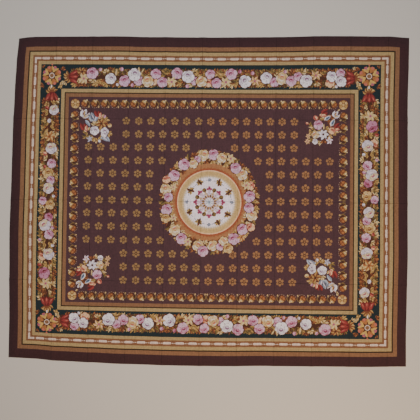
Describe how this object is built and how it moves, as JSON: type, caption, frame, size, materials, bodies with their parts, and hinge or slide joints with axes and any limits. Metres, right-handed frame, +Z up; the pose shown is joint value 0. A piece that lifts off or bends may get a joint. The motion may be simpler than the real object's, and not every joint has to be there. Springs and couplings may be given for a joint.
{
  "type": "aubusson rug",
  "caption": "Flat hand-woven tapestry floor rug with a floral medallion field, garland border and plain dark edge band, laid open with soft fold ridges.",
  "frame": {"origin": "centre of the rug's outline, on the floor plane under it", "axes": "+X along the rug's long way, +Y across it towards the long edge that is at the top of the picture, +Z up from the floor through the face of the weave"},
  "size_m": [3.682, 3.051, 0.0099],
  "materials": {
    "woven_wool": "matt flat-woven wool with a soft sheen"
  },
  "bodies": {
    "root": {"rug": "woven_wool"}
  },
  "joints": []
}
